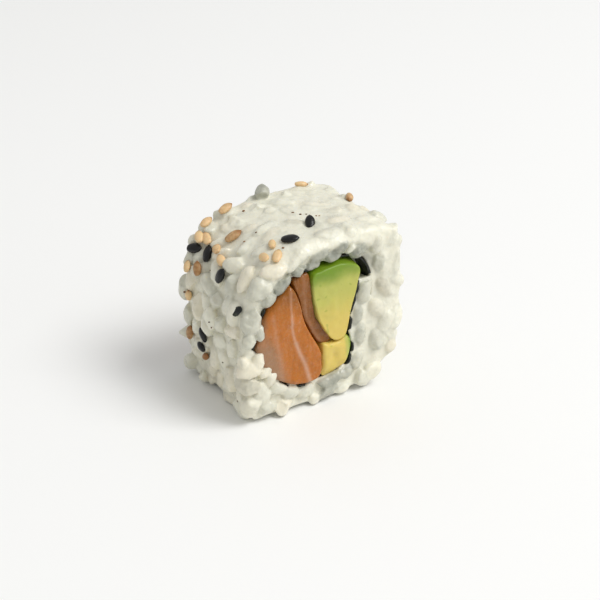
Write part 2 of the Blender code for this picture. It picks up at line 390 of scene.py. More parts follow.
class Finish:
    """A material under construction, with short ways to add the nodes it needs."""

    def __init__(self, name):
        self.material = bpy.data.materials.new(name)
        self.material.use_nodes = True
        self.tree = self.material.node_tree
        self.shader = self.tree.nodes["Principled BSDF"]
        self.place = self.tree.nodes.new("ShaderNodeTexCoord").outputs["Object"]

    def put(self, socket, value):
        """Joins value to a socket if it is another node's output, and sets it on the socket if not."""
        if isinstance(value, bpy.types.NodeSocket):
            self.tree.links.new(value, socket)
        else:
            socket.default_value = (*value, 1.0) if hasattr(value, "__len__") and len(value) == 3 else value

    def surface(self, **sockets):
        for name, value in sockets.items():
            self.put(self.shader.inputs[name.replace("_", " ")], value)

    def value(self, name):
        """A number that the mesh holds at each point."""
        node = self.tree.nodes.new("ShaderNodeAttribute")
        node.attribute_name = name
        return node.outputs["Fac"]

    def noise(self, size, detail=2.0, roughness=0.5, stretch=(1, 1, 1), distortion=0.0):
        """Cloudy values round 0.5, in patches of about size millimetres times the stretch along each axis."""
        mapping = self.tree.nodes.new("ShaderNodeMapping")
        mapping.inputs["Scale"].default_value = [1 / (size * MM * s) for s in stretch]
        self.tree.links.new(self.place, mapping.inputs["Vector"])
        node = self.tree.nodes.new("ShaderNodeTexNoise")
        self.tree.links.new(mapping.outputs["Vector"], node.inputs["Vector"])
        node.inputs["Scale"].default_value = 1.0
        node.inputs["Detail"].default_value = detail
        node.inputs["Roughness"].default_value = roughness
        node.inputs["Distortion"].default_value = distortion
        return node.outputs["Fac"]

    def span(self, value, low, high, to_low=0.0, to_high=1.0):
        """value carried from low..high to to_low..to_high, and held at its ends."""
        node = self.tree.nodes.new("ShaderNodeMapRange")
        node.interpolation_type = "SMOOTHSTEP"
        self.put(node.inputs["Value"], value)
        for name, number in zip(("From Min", "From Max", "To Min", "To Max"), (low, high, to_low, to_high)):
            node.inputs[name].default_value = number
        return node.outputs["Result"]

    def math(self, operation, a, b=0.0):
        node = self.tree.nodes.new("ShaderNodeMath")
        node.operation = operation
        self.put(node.inputs[0], a)
        self.put(node.inputs[1], b)
        return node.outputs[0]

    def mix(self, share, a, b):
        """Colour a where share is 0 and b where it is 1."""
        factor, colour_a, colour_b, result = 0, 6, 7, 2  # where the node keeps its colour sockets
        node = self.tree.nodes.new("ShaderNodeMix")
        node.data_type = "RGBA"
        self.put(node.inputs[factor], share)
        self.put(node.inputs[colour_a], a)
        self.put(node.inputs[colour_b], b)
        return node.outputs[result]

    def bump(self, height, depth, under=None):
        """Relief of depth millimetres where height goes from 0 to 1, on top of the relief under it."""
        node = self.tree.nodes.new("ShaderNodeBump")
        node.inputs["Strength"].default_value = 1.0
        node.inputs["Distance"].default_value = depth * MM
        self.put(node.inputs["Height"], height)
        if under is not None:
            self.tree.links.new(under, node.inputs["Normal"])
        return node.outputs["Normal"]


def rice_finish(look):
    f = Finish("cooked rice")
    tint, glassy_and_shaded, painted_hollow_shade, painted_seam_shade = (f.value(name) for name in ("tint", "glassy_and_shaded", "painted_hollow_shade", "painted_seam_shade"))
    colour = f.mix(f.span(tint, 0.35, 0.95), look.milky, look.creamy)
    colour = f.mix(f.span(f.noise(2.6, 3.0), 0.4, 0.75, 0.0, 0.4), colour, look.creamy)
    # How much of the glassy colour each place takes; that colour is translucent grey and partly painted shade
    clear = f.math("ADD", f.math("MULTIPLY", glassy_and_shaded, 0.9), f.span(f.noise(1.8, 2.0), 0.45, 0.75, 0.0, 0.16))
    clear = f.math("MULTIPLY", clear, f.span(f.noise(0.9, 2.0), 0.25, 0.65, 0.8, 1.0))
    colour = f.mix(clear, colour, look.glassy_and_shaded)
    # Painted shade in the creases where touching grains meet
    colour = f.mix(f.span(painted_seam_shade, 0.15, 0.6, 0.0, 0.20), colour, look.glassy_and_shaded)
    # Painted shade in the rice's dips: greyer the deeper the surface lies below the block
    colour = f.mix(f.span(painted_hollow_shade, 0.35, 1.0, 0.0, 0.30), colour, look.glassy_and_shaded)
    relief = f.bump(f.noise(0.7, 1.0), 0.09)
    relief = f.bump(f.noise(2.0, 2.0), 0.16, under=relief)
    f.surface(
        Base_Color=colour,
        Roughness=f.span(f.noise(1.6, 2.0), 0.3, 0.7, 0.25, 0.5),
        Normal=relief,
        IOR=1.42,
        Coat_Weight=f.span(f.noise(1.3, 2.0), 0.5, 0.68, 0.03, 0.5),
        Coat_Roughness=0.12,
        Coat_Normal=relief,
        Subsurface_Weight=0.2,
        Subsurface_Scale=0.003,
    )
    f.shader.inputs["Subsurface Radius"].default_value = (1.0, 0.9, 0.7)
    return f.material


def seaweed_finish(look):
    f = Finish("seaweed")
    colour = f.mix(f.span(f.noise(1.2, 3.0), 0.45, 0.75), look.dark, look.green)
    relief = f.bump(f.noise(0.5, 3.0), 0.08)
    f.surface(Base_Color=colour, Roughness=f.span(f.noise(0.8), 0.3, 0.7, 0.3, 0.6), Normal=relief, IOR=1.45)
    return f.material


def salmon_finish(look):
    f = Finish("salmon")
    depth = f.math("ADD", f.value("deep"), f.span(f.noise(4.5, 2.0), 0.3, 0.7, -0.12, 0.18))
    flesh = f.mix(depth, look.flesh, look.deep)
    grain = f.noise(0.9, 3.0, roughness=0.6, stretch=(1.0, 3.0, 4.5), distortion=0.6)
    flesh = f.mix(f.span(grain, 0.52, 0.75, 0.0, 0.30), flesh, look.deep)
    flesh = f.mix(f.span(grain, 0.46, 0.28, 0.0, 0.16), flesh, look.fat)
    flesh = f.mix(f.math("MULTIPLY", f.value("dull"), 0.95), flesh, look.dull)
    flesh = f.mix(f.math("MULTIPLY", f.value("pale"), 0.85), flesh, look.fat)
    flesh = f.mix(f.span(f.noise(0.55, 2.0, stretch=(0.7, 1.0, 1.6)), 0.58, 0.8, 0.0, 0.18), flesh, look.fat)
    relief = f.bump(f.noise(0.4, 1.0), 0.05)
    relief = f.bump(f.noise(1.4, 2.0, stretch=(1.0, 1.0, 2.0)), 0.20, under=relief)
    f.surface(
        Base_Color=flesh,
        Roughness=f.span(f.noise(1.0, 2.0), 0.35, 0.65, 0.18, 0.42),
        Normal=relief,
        IOR=1.37,
        Coat_Weight=f.span(f.noise(0.8, 2.0), 0.5, 0.7, 0.0, 0.6),
        Coat_Roughness=0.10,
        Coat_Normal=relief,
        Subsurface_Weight=0.2,
        Subsurface_Scale=0.0015,
    )
    f.shader.inputs["Subsurface Radius"].default_value = (1.0, 0.4, 0.2)
    return f.material


def avocado_finish(look):
    f = Finish("avocado")
    ripe = f.math("ADD", f.value("ripe"), f.span(f.noise(3.0, 2.0), 0.2, 0.8, -0.04, 0.04))
    colour = f.mix(f.span(ripe, 0.0, 0.42), look.skin_side, look.middle)
    colour = f.mix(f.span(ripe, 0.42, 0.95), colour, look.stone_side)
    colour = f.mix(f.span(f.noise(1.5, 0.0), 0.74, 0.80, 0.0, 0.35), colour, look.skin_side)
    relief = f.bump(f.noise(0.9, 2.0), 0.06)
    f.surface(
        Base_Color=colour,
        Roughness=f.span(f.noise(0.9, 2.0), 0.3, 0.7, 0.3, 0.55),
        Normal=relief,
        IOR=1.43,
        Coat_Weight=0.15,
        Coat_Roughness=0.25,
        Subsurface_Weight=0.2,
        Subsurface_Scale=0.0015,
    )
    f.shader.inputs["Subsurface Radius"].default_value = (0.8, 1.0, 0.3)
    return f.material


def pale_seed_finish(look):
    f = Finish("toasted sesame")
    browning = f.math("ADD", f.value("browning"), f.span(f.noise(0.7, 2.0), 0.3, 0.7, -0.1, 0.1))
    colour = f.mix(f.span(browning, 0.1, 1.0), look.toasted, look.browned)
    f.surface(Base_Color=colour, Roughness=0.42, IOR=1.45, Subsurface_Weight=0.1, Subsurface_Scale=0.001)
    f.surface(Normal=f.bump(f.noise(0.35, 2.0), 0.04))
    return f.material


def speck_finish(look):
    f = Finish("toasted specks")
    colour = f.mix(f.span(f.noise(0.4, 2.0), 0.3, 0.7), look.browned, (0.03, 0.018, 0.01))
    f.surface(Base_Color=colour, Roughness=0.6, IOR=1.45, Normal=f.bump(f.noise(0.2, 2.0), 0.03))
    return f.material


def black_seed_finish(look):
    f = Finish("black sesame")
    colour = f.mix(f.span(f.noise(0.4, 2.0), 0.5, 0.8, 0.0, 0.5), look.black, (0.020, 0.020, 0.019))
    f.surface(Base_Color=colour, Roughness=0.28, IOR=1.42, Normal=f.bump(f.noise(0.25, 3.0), 0.05))
    return f.material


# ------------------------------------------------------------------------------------------------ rice


# By bearing in degrees round the cut face's middle, with 0 to the right and 90 up: how rounded the front edge
# is, how deep the face is sunk beside the seaweed and how far rice creeps over the seaweed's edge, in
# millimetres, and how glassy the grains beside the seaweed are
ROUNDING_AS_GIVEN = 3.0  # the edge rounding setting that the first table is for
EDGE_ROUNDINGS = [
    (0, 1.2), (40, 1.6), (70, 3.0), (110, 4.5), (150, 4.2), (185, 2.2), (225, 0.9), (270, 1.4), (315, 1.6),
]
FACE_SINKS = [(0, 0.4), (45, 1.3), (90, 1.4), (130, 1.0), (170, 0.3), (225, 0.1), (270, 0.3), (320, 0.3)]
CREEPS = [
    (0, 0.7), (20, 0.5), (30, 0.1), (52, 0.1), (66, 0.7), (110, 0.85), (150, 1.1), (190, 1.25), (235, 1.3),
    (270, 1.1), (300, 0.9), (330, 0.8),
]
CLEARNESSES = [
    (0, 0.5), (40, 0.6), (60, 0.9), (120, 0.9), (150, 0.5), (190, 0.3), (230, 0.15), (270, 0.6), (310, 0.75),
]
BACK_ROUNDING = 1.3
# How far the shapes of touching grains run into each other, and how deep the core lies under the block's
# surface, where the rice is smeared and where its grains stand apart
SMEARED_BLEND, APART_BLEND = 0.42, 0.10
SMEARED_CORE, APART_CORE = 0.32, 0.95
COLOUR_BLEND = 0.12  # how far the colours of touching grains run into each other
CUT_ROUNDING = 0.12  # of the edges that a cut leaves
PAINTED_SHADE_DEPTH = 2.2  # below the block's surface, where the painted shade in the rice's dips is full
# A plug of rice behind the small hollow beside the seaweed: its middle, radius and depth behind the cut faces
PLUG_MIDDLE, PLUG_RADIUS, PLUG_DEPTH = (9.3, 26.6), 2.8, 6.0
MOST_QUADS = 96000  # left in the rice's mesh
# Places on the cut face where the seaweed's edge shows
BARE_SPOTS = [
    (-13.0, 23.0), (-15.2, 17.1), (-9.0, 6.9), (-5.0, 5.6), (6.2, 10.2), (6.0, 7.6), (9.5, 27.0), (9.3, 28.5),
    (4.4, 31.0), (10.2, 25.2), (-3.0, 29.9), (11.3, 21.2), (6.4, 15.6),
]


def bearing_of(x, z):
    """Degrees round the middle of the cut face, from 0 to the right and 90 up."""
    return np.degrees(np.arctan2(z - MIDDLE_HEIGHT, x + 1.5)) % 360


def by_bearing(table):
    """A map of the cut face of values given at a few bearings round its middle."""
    bearings, values = zip(*table)
    return FlatMap(lambda p: np.interp(bearing_of(p[:, 0], p[:, 1]), bearings, values, period=360))


class RiceBody:
    """The shape that the packed grains fill: a rounded block with a spiral space through it. Distances are
    negative inside the rice."""

    def __init__(self, size):
        self.half = size.length / MM / 2 - FACE_INSET
        self.edge_share = size.edge / MM / ROUNDING_AS_GIVEN
        self.edges = by_bearing(EDGE_ROUNDINGS)
        self.sinks = by_bearing(FACE_SINKS)
        self.creeps = by_bearing(CREEPS)
        self.clearness = by_bearing(CLEARNESSES)
        outline = smooth_curve(RICE_OUTLINE, 160, closed=True)
        space = filling_space(size)
        self.outline = FlatMap(lambda p: distance_to_outline(p, outline))
        self.space = FlatMap(lambda p: distance_to_outline(p, space))
        buried = smooth_curve(BURIED_ROUTE, 40, closed=False)
        self.buried = FlatMap(lambda p: smooth_step(2.0, 1.0, distance_to_line(p, buried)))
        spots = np.array(BARE_SPOTS)
        self.bare = FlatMap(
            lambda p: smooth_step(1.7, 0.8, np.linalg.norm(p[:, None] - spots[None], axis=2).min(axis=1))
        )

    def face_sink(self, x, z):
        """How deep the cut face is sunk beside the space."""
        return self.sinks.at(x, z) * smooth_step(3.4, 0.3, self.space.at(x, z))

    def outside(self, p):
        """Distance to the block: its outline and its cut faces, joined by a quarter circle of the edge's
        radius."""
        x, y, z = p[..., 0], p[..., 1], p[..., 2]
        edge = self.edge_share * np.where(y > 0, BACK_ROUNDING, self.edges.at(x, z))
        across = self.outline.at(x, z) + edge
        along = np.abs(y) - (self.half - self.face_sink(x, z)) + edge
        within = np.minimum(np.maximum(across, along), 0)
        return within + np.hypot(np.maximum(across, 0), np.maximum(along, 0)) - edge

    def slope(self, p):
        """Unit direction in which the distance to the block grows."""
        step = 0.15
        rise = [self.outside(p + shift) - self.outside(p - shift) for shift in np.eye(3) * step]
        rise = np.stack(rise, axis=-1)
        return rise / np.maximum(np.linalg.norm(rise, axis=-1, keepdims=True), 1e-6)

    def distinct(self, p):
        """1 where the grains stand apart, 0 where they are pressed and smeared into one."""
        x, y, z = p[..., 0], p[..., 1], p[..., 2]
        left = smooth_step(-7, -14, x) * smooth_step(37, 28, z)
        low = 0.7 * smooth_step(8, 4, z)
        near_face = smooth_step(self.half - 5, self.half - 2, np.abs(y))
        rim = smooth_step(3.4, 1.7, self.space.at(x, z)) * near_face
        rim *= 0.85 * smooth_step(14.5, 12.0, x)
        back = 0.6 * smooth_step(4, 11, y) * smooth_step(34, 30, z)
        right = 0.4 * smooth_step(14, 18, x) * smooth_step(-9, -2, y)
        least = np.full_like(left, 0.2)
        return np.clip(np.maximum.reduce([left, low, rim, back, right, least]), 0.0, 1.0)


def filling_space(size):
    """Outline of the spiral space in the rice: the sheet and its clearance, round all that it wraps."""
    route = smooth_curve(SEAWEED_ROUTE, 150, closed=False)
    reach = (size.sheet / 2 + size.gap) / MM
    outer = route + right_hand_normals(route) * reach
    inner = route - right_hand_normals(route) * reach
    first_turn = inner[: len(inner) // 3]
    crossing = int(np.argmin(np.linalg.norm(first_turn - outer[-1], axis=1)))
    return np.vstack([outer, first_turn[crossing::-1]])


# Grains with a place of their own: (X, Y, Z) near the block's surface, turn in degrees from level towards up,
# length, width, how far it stands out (millimetres), warmth and clearness (shares)
GRAINS_BY_HAND = [
    (-9.0, -12, 28.2, 45, 4.8, 2.6, 0.4, 0.2, 1.0), (-5.2, -12, 29.9, 35, 3.2, 2.3, 0.3, 0.3, 1.0),
    (-2.2, -12, 30.5, 15, 3.4, 2.1, 0.3, 0.2, 1.0), (-0.8, -12, 32.0, 30, 4.4, 2.4, 0.2, 0.4, 0.9),
    (2.2, -12, 31.2, 10, 3.8, 2.4, 0.4, 0.3, 1.0), (3.8, -12, 32.8, 60, 3.2, 2.2, 0.2, 0.5, 1.0),
    (8.1, -12, 30.9, 60, 4.8, 3.6, 0.6, 0.2, 0.95), (6.0, -13, 31.6, 60, 2.4, 1.0, 0.25, 0.0, 0.0),
    (11.3, -13, 31.0, 90, 4.4, 2.6, 0.0, 0.6, 0.35), (12.2, -13, 27.2, 85, 4.6, 2.4, -0.1, 0.4, 0.45),
    (-12.1, -13, 25.9, 20, 3.6, 2.9, 0.2, 0.2, 0.7), (-15.6, -12, 29.2, 70, 5.2, 3.3, 0.3, 0.1, 0.4),
    (-13.6, -12, 28.2, 30, 4.6, 2.8, 0.0, 0.2, 0.35), (-16.3, -13, 22.5, 78, 6.0, 3.8, 0.5, 0.0, 0.5),
    (-17.2, -13, 18.6, 62, 3.8, 2.6, 0.4, 0.1, 0.4), (-14.3, -13, 19.6, 85, 3.4, 2.0, 0.3, 0.3, 0.5),
    (-17.4, -13, 12.3, 20, 5.0, 3.4, 0.9, 0.9, 0.0), (-15.2, -13, 13.6, 62, 4.6, 2.6, 0.9, 0.9, 0.0),
    (-18.4, -12, 13.4, 115, 3.6, 2.4, 0.7, 0.8, 0.0), (-12.4, -13, 9.3, 70, 3.6, 2.4, 0.5, 0.7, 0.1),
    (-13.6, -13, 11.2, 40, 3.2, 2.3, 0.5, 0.8, 0.0), (-10.4, -13, 6.3, -20, 4.2, 2.6, 0.3, 0.4, 0.3),
    (1.6, -13, 4.2, 15, 6.4, 2.6, 0.2, 0.1, 0.9), (0.6, -13, 2.2, 10, 5.8, 2.2, 0.1, 0.2, 0.85),
    (5.2, -13, 4.8, 20, 3.8, 2.2, 0.1, 0.2, 0.75), (-8.0, -13, 4.6, -10, 5.0, 3.0, 0.2, 0.1, 0.35),
    (-4.2, -13, 3.6, 25, 4.6, 2.8, 0.2, 0.3, 0.3), (-2.4, -13, 1.6, 82, 3.0, 2.2, 0.1, 0.6, 0.0),
    (-17.0, -13, 4.2, 60, 5.8, 3.8, 0.5, 0.6, 0.15), (-13.4, -13, 3.0, 0, 4.8, 3.0, 0.3, 0.2, 0.3),
    (9.3, -13, 22.2, 76, 5.8, 3.3, 0.1, 0.1, 0.45), (7.9, -12, 17.0, 85, 4.6, 2.4, -0.3, 0.1, 0.75),
    (8.6, -12, 12.4, 80, 5.6, 2.5, -0.2, 0.3, 0.55), (7.9, -13, 6.9, 60, 4.4, 2.7, 0.0, 0.5, 0.4),
    (0.3, 11.4, 35.9, 80, 4.6, 2.9, 1.9, 0.0, 0.85), (16.8, -6.6, 34.8, 50, 4.0, 3.0, 0.7, 0.4, 0.2),
    (-18.0, 11.4, 20.1, 85, 5.6, 3.6, 0.9, 0.2, 0.3), (-17.8, 11.4, 2.6, 30, 5.0, 3.4, 0.9, 0.3, 0.3),
    (-12.6, 12.2, 32.2, 30, 5.0, 3.2, 0.9, 0.2, 0.3), (-8.5, 11.5, 34.3, 10, 5.0, 3.2, 0.8, 0.3, 0.2),
    (-17.9, -2.6, 18.0, 80, 4.6, 3.0, 0.4, 0.1, 0.2), (-18.3, -7.5, 14.8, 85, 5.0, 2.6, 0.4, 0.4, 0.1),
    (-17.4, -4.7, 22.9, 70, 4.6, 3.2, 0.3, 0.2, 0.2), (-17.8, -0.1, 22.1, 40, 4.6, 3.2, 0.3, 0.0, 0.35),
    (-16.4, -4.0, 26.7, 110, 4.8, 3.2, 0.3, 0.1, 0.4), (-17.6, -4.4, 5.0, 30, 5.0, 3.2, 0.4, 0.5, 0.1),
]


def laid_by_hand(body):
    """Centres, long axes, outward directions, half sizes, warmth and clearness of the listed grains, and
    three points along each."""
    top_heading = (0.85, -0.53, 0.0)  # stands for level on grains that face straight up
    rows = np.array(GRAINS_BY_HAND)
    centres, turn = rows[:, :3], np.radians(rows[:, 3:4])
    half = rows[:, 4:6] / 2
    for _ in range(4):
        depth = body.outside(centres) + half[:, 1] * 0.9 - rows[:, 6]
        centres = centres - body.slope(centres) * depth[:, None]
    outward = body.slope(centres)
    level = np.cross([0.0, 0.0, 1.0], outward)
    level[np.linalg.norm(level, axis=1) < 0.4] = top_heading
    level /= np.linalg.norm(level, axis=1, keepdims=True)
    long_axis = level * np.cos(turn) + np.cross(outward, level) * np.sin(turn)
    halves = np.stack([half[:, 0], half[:, 1], half[:, 1] * 0.9], axis=1)
    points = (centres[:, None] + long_axis[:, None] * np.array([-1.5, 0, 1.5])[None, :, None]).reshape(-1, 3)
    return centres, long_axis, outward, halves, rows[:, 7], rows[:, 8], points


def settle_grains(body, picker, tries, depth, scatter, spacing, taken):
    """Grains laid one at a time on the surface at the given depth below the block, each with three points along
    it that keep their spacing from every point laid before. Gives centres, long axes, outward directions and
    all the points."""
    centres = np.stack([
        picker.uniform(-19, 19, tries), picker.uniform(-14, 14, tries), picker.uniform(0.5, 36.5, tries)
    ], axis=1)
    depths = depth + picker.normal(0, scatter, tries)
    for _ in range(4):
        sunk = depths + 0.35 * (1 - body.distinct(centres))
        centres = centres - body.slope(centres) * (body.outside(centres) + sunk)[:, None]
    outward = body.slope(centres)
    anyhow = picker.normal(size=(tries, 3))
    long_axis = np.cross(outward, anyhow)
    long_axis /= np.linalg.norm(long_axis, axis=1, keepdims=True)
    tilt = picker.normal(0, 0.22, tries)[:, None]
    long_axis = long_axis * np.cos(tilt) + outward * np.sin(tilt)
    near_face = np.abs(outward[:, 1]) > 0.6
    reach = np.where(near_face, 1.5, 1.7)
    fits = (body.space.at(centres[:, 0], centres[:, 2]) > 0.9) & (centres[:, 2] > 0.8)
    laid, points = [], taken
    for i in np.flatnonzero(fits):
        own = centres[i] + long_axis[i] * np.array([-reach[i], 0, reach[i]])[:, None]
        if len(points) and np.linalg.norm(points[None] - own[:, None], axis=2).min() < spacing:
            continue
        points = np.vstack([points, own]) if len(points) else own
        laid.append(i)
    laid = np.array(laid)
    return centres[laid], long_axis[laid], outward[laid], points


def lay_rice(body, look):
    """Places, axes, half sizes, bend, warmth and clearness of every grain, and how many are listed: they
    come first, then a full outer layer round them, and another under it."""
    picker = np.random.default_rng(look.seed)
    own = laid_by_hand(body)
    spacing = 1.9
    top = settle_grains(body, picker, tries=9000, depth=1.15, scatter=0.26, spacing=spacing, taken=own[6])
    under = settle_grains(body, picker, tries=6000, depth=2.2, scatter=0.2, spacing=spacing, taken=top[3])
    centres, long_axis, outward = (np.vstack([own[k], top[k], under[k]]) for k in range(3))
    count = len(centres)
    side = np.cross(outward, long_axis)
    side /= np.linalg.norm(side, axis=1, keepdims=True)
    thin = np.cross(long_axis, side)
    frames = np.stack([long_axis, side, thin], axis=1)
    long_half = look.grain_length / MM / 2 * picker.normal(1.0, 0.09, count)
    wide_half = look.grain_width / MM / 2 * picker.normal(1.0, 0.08, count)
    halves = np.stack([long_half, wide_half, wide_half * picker.uniform(0.8, 0.95, count)], axis=1)
    apart = body.distinct(centres)[:, None]
    halves = halves * (1 + apart * np.array([0.0, 0.24, 0.18]))
    halves[: len(own[0])] = own[3]
    bend = picker.normal(0, 0.035, count)
    near = body.space.at(centres[:, 0], centres[:, 2])
    at_face = smooth_step(body.half - 5, body.half - 2.5, np.abs(centres[:, 1]))
    # Grains beside the seaweed take the glassy colour: translucent grey and partly painted shade under the lip
    glassy_and_shaded = body.clearness.at(centres[:, 0], centres[:, 2]) * smooth_step(3.4, 1.6, near) * at_face
    glassy_and_shaded = np.maximum(glassy_and_shaded, (picker.random(count) < 0.12) * 0.5 * body.distinct(centres))
    glassy_and_shaded = np.clip(glassy_and_shaded + picker.normal(0, 0.12, count), 0, 1)
    warm = picker.random(count)
    warm[: len(own[0])], glassy_and_shaded[: len(own[0])] = own[4], own[5]
    return centres, frames, halves, bend, warm, glassy_and_shaded, len(own[0])


def broken_sides(halves, picker, count=5):
    """Planes that cut slivers off a grain: unit directions in its frame and how far out each plane lies."""
    facing = picker.normal(size=(count, 3)) * (1.0, 1.0, 0.8)
    facing /= np.linalg.norm(facing, axis=1, keepdims=True)
    reach = np.linalg.norm(facing * halves, axis=1)
    return facing.astype(np.float32), (reach * picker.uniform(0.66, 0.98, count)).astype(np.float32)


def grain_distance(q, half, bend, picker):
    """Distance to a grain from points q, with its long axis as X: an ellipsoid with a straight middle and a
    slight bend, at distance k0 (k0 - 1) / k1 with k0 = |q / r| and k1 = |q / r^2|, or the distance past the
    planes that cut its broken sides where that is larger."""
    q[..., 1] += bend * q[..., 0] ** 2
    middle = 0.25 * half[0]
    q[..., 0] = np.sign(q[..., 0]) * np.maximum(np.abs(q[..., 0]) - middle, 0)
    r = np.array([half[0] - middle, half[1], half[2]], np.float32)
    scaled = q / r
    k0 = np.sqrt((scaled**2).sum(-1)) + 1e-6
    k1 = np.sqrt(((scaled / r) ** 2).sum(-1)) + 1e-6
    away = k0 * (k0 - 1) / k1
    q[..., 0] += np.sign(q[..., 0]) * middle
    for facing, reach in zip(*broken_sides(half, picker)):
        away = np.maximum(away, q @ facing - reach)
    return away


def rice_field(body, look):
    """Level set of the packed rice on an even grid. The grains and a core under them are joined by
    -k ln(sum of exp(-distance / k)), where k is small where grains stand apart and larger where they are
    smeared. Sharper weights of the same form blend the grains' finish."""
    step = look.fineness / MM
    low, high = np.array([-20.4, -15.0, -0.9]), np.array([20.4, 15.0, 38.4])
    shape = np.ceil((high - low) / step).astype(int)
    axes = [low[k] + np.arange(shape[k], dtype=np.float32) * step for k in range(3)]
    places = np.stack(np.meshgrid(*axes, indexing="ij"), axis=-1).astype(np.float32)
    distinct = body.distinct(places).astype(np.float32)
    blend = SMEARED_BLEND + (APART_BLEND - SMEARED_BLEND) * distinct
    core_depth = SMEARED_CORE + (APART_CORE - SMEARED_CORE) * distinct
    outside = body.outside(places).astype(np.float32)
    total = np.exp(np.clip(-(outside + core_depth) / blend, -30, 30))
    shares = np.exp(np.clip(-(outside + core_depth) / COLOUR_BLEND, -20, 20))
    squares, tint, glassy_and_shaded = shares**2, shares * 0.45, shares * 0.04
    centres, frames, halves, bends, tints, clears, by_hand = lay_rice(body, look)
    placed = np.zeros_like(total)
    picker = np.random.default_rng(look.seed + 1)
    grains = zip(centres, frames, halves, bends, tints, clears)
    for number, (centre, own_axes, half, bend, own_tint, own_clear) in enumerate(grains):
        reach = half[0] + 1.3
        a = np.maximum(((centre - reach - low) / step).astype(int), 0)
        b = np.minimum(((centre + reach - low) / step).astype(int) + 2, shape)
        part = tuple(slice(a[k], b[k]) for k in range(3))
        q = (places[part] - centre.astype(np.float32)) @ own_axes.T.astype(np.float32)
        away = grain_distance(q, half, bend, picker)
        weight = np.exp(np.clip(-away / blend[part], -30, 30))
        total[part] += weight
        if number < by_hand:
            placed[part] += weight
        share = np.exp(np.clip(-away / COLOUR_BLEND, -20, 20))
        shares[part] += share
        squares[part] += share**2
        tint[part] += share * own_tint
        glassy_and_shaded[part] += share * own_clear
    field = -blend * np.log(total) + 0.55 * blend
    field += 0.08 * soft_noise(places, 2.4, 3) + (0.12 + 0.22 * distinct) * soft_noise(places, 5.0, 4)
    field += 0.05 * soft_noise(places, 1.1, 5)
    by_hand_field = blend * np.log(placed + 1e-12) - 0.05
    field = carved(field, body, places, distinct, by_hand_field)
    # The depth below the block is kept for the painted shade in the rice's dips
    values = {"tint": tint / shares, "glassy_and_shaded": glassy_and_shaded / shares, "painted_hollow_shade": outside}
    # Where touching grains meet, for painted shade in the creases between them
    values["painted_seam_shade"] = 1 - squares / shares**2
    return field, low, step, values


def carved(field, body, places, distinct, by_hand_field):
    """The packed rice cut to its faces by a knife and hollowed for the sheet and what it wraps, over whose
    edge rice creeps near the faces. The listed grains hang over the hollow, and the underside is pressed
    flat."""
    x, y, z = places[..., 0], places[..., 1], places[..., 2]
    cut_face = body.half - 0.8 * body.face_sink(x, z) + 0.2 + 0.25 * soft_noise(places, 4.0, 8)
    field = soft_larger(field, np.abs(y) - cut_face - 0.4 * distinct, CUT_ROUNDING)
    near_face = smooth_step(body.half - 3.6, body.half - 1.4, np.abs(y))
    creep = body.creeps.at(x, z) + 0.4 * soft_noise(places, 1.7, 6) + 1.0 * body.buried.at(x, z)
    creep *= near_face * (1 - 0.75 * body.bare.at(x, z))
    field = soft_larger(field, -(body.space.at(x, z) + creep), CUT_ROUNDING)
    field = -soft_larger(-field, by_hand_field, CUT_ROUNDING)
    from_middle = np.hypot(x - PLUG_MIDDLE[0], z - PLUG_MIDDLE[1])
    field = np.minimum(field, np.maximum(from_middle - PLUG_RADIUS, np.abs(y) - (body.half - PLUG_DEPTH)))
    return soft_larger(field, 0.02 - z, 0.15)


def soft_larger(a, b, rounding):
    """The larger of two distances, rounded where they meet: k ln(exp(a / k) + exp(b / k))."""
    return np.logaddexp(a / rounding, b / rounding) * rounding


def level_surface(field, low, step):
    """Points and quads of the surface where field is 0. Each cell that it passes through holds one point, at
    the middle of where it crosses the cell's edges, and each grid edge that it crosses joins the four cells
    round it."""
    inside = field < 0
    cells = tuple(n - 1 for n in field.shape)
    corner = {c: tuple(slice(c[k], c[k] + cells[k]) for k in range(3)) for c in np.ndindex(2, 2, 2)}
    count = sum(inside[corner[c]].astype(np.int8) for c in corner)
    mixed = np.argwhere((count > 0) & (count < 8))
    number = np.full(cells, -1, np.int32)
    number[tuple(mixed.T)] = np.arange(len(mixed))
    spot, hits = np.zeros((len(mixed), 3)), np.zeros(len(mixed))
    for c in np.ndindex(2, 2, 2):
        for axis in range(3):
            if c[axis]:
                continue
            start = mixed + c
            end = start.copy()
            end[:, axis] += 1
            f0, f1 = field[tuple(start.T)], field[tuple(end.T)]
            crosses = (f0 < 0) != (f1 < 0)
            t = np.where(crosses, f0 / np.where(crosses, f0 - f1, 1), 0)
            place = start.astype(float)
            place[:, axis] += t
            spot += place * crosses[:, None]
            hits += crosses
    points = spot / hits[:, None] * step + low
    quads = []
    for axis in range(3):
        others = [k for k in range(3) if k != axis]
        a = [slice(1, -1)] * 3
        a[axis] = slice(0, -1)
        b = list(a)
        b[axis] = slice(1, None)
        here, there = inside[tuple(a)], inside[tuple(b)]
        for leaving in (True, False):
            edge = np.argwhere((here & ~there) if leaving else (~here & there))
            edge[:, others] += 1
            ring = []
            for s, t in ((-1, -1), (0, -1), (0, 0), (-1, 0)):
                cell = edge.copy()
                cell[:, others[0]] += s
                cell[:, others[1]] += t
                ring.append(number[tuple(cell.T)])
            quad = np.stack(ring, axis=1)
            flip = leaving == (axis == 1)
            quads.append(quad[:, ::-1] if flip else quad)
    return points, np.vstack(quads)


